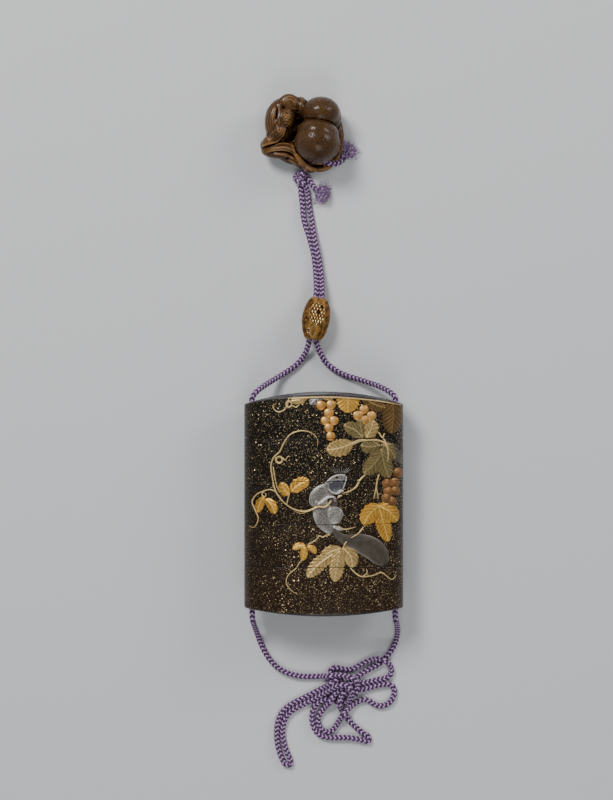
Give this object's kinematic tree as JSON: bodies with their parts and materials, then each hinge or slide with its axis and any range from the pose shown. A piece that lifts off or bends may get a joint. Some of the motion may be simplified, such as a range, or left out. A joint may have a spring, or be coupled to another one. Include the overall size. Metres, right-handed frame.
{
  "type": "inro case",
  "caption": "Lacquered case of nested trays under a lid, threaded on a silk cord with a sliding bead and a carved toggle, lying on its back.",
  "frame": {"origin": "middle of the small flat strip along the case's back, on the ground", "axes": "+X across the case's width, +Y up the case towards the toggle, +Z out of the case's decorated front"},
  "size_m": [0.0598, 0.2558, 0.0239],
  "materials": {
    "lacquer": "black-brown lacquer sprinkled with gold flakes, polished",
    "gold_relief": "gold powder over raised lacquer, satin",
    "silver_relief": "silver powder over raised lacquer, dulled",
    "boxwood": "stained and polished, darker in the cuts",
    "gold_bead": "chased and pierced, bright on the high spots",
    "silk_cord": "braided silk, dark purple with lilac flecks"
  },
  "bodies": {
    "root": {"lid": "lacquer", "tray_1": "lacquer", "tray_2": "lacquer", "tray_3": "lacquer", "base_tray": "lacquer", "ojime": "gold_bead", "netsuke": "boxwood", "cord_left_upper": "silk_cord", "cord_right_upper": "silk_cord", "cord_left_channel": "silk_cord", "cord_right_channel": "silk_cord", "cord_left_lower": "silk_cord", "cord_right_lower": "silk_cord", "cord_bow": "silk_cord", "cord_left_end": "silk_cord", "cord_right_end": "silk_cord"}
  },
  "joints": []
}
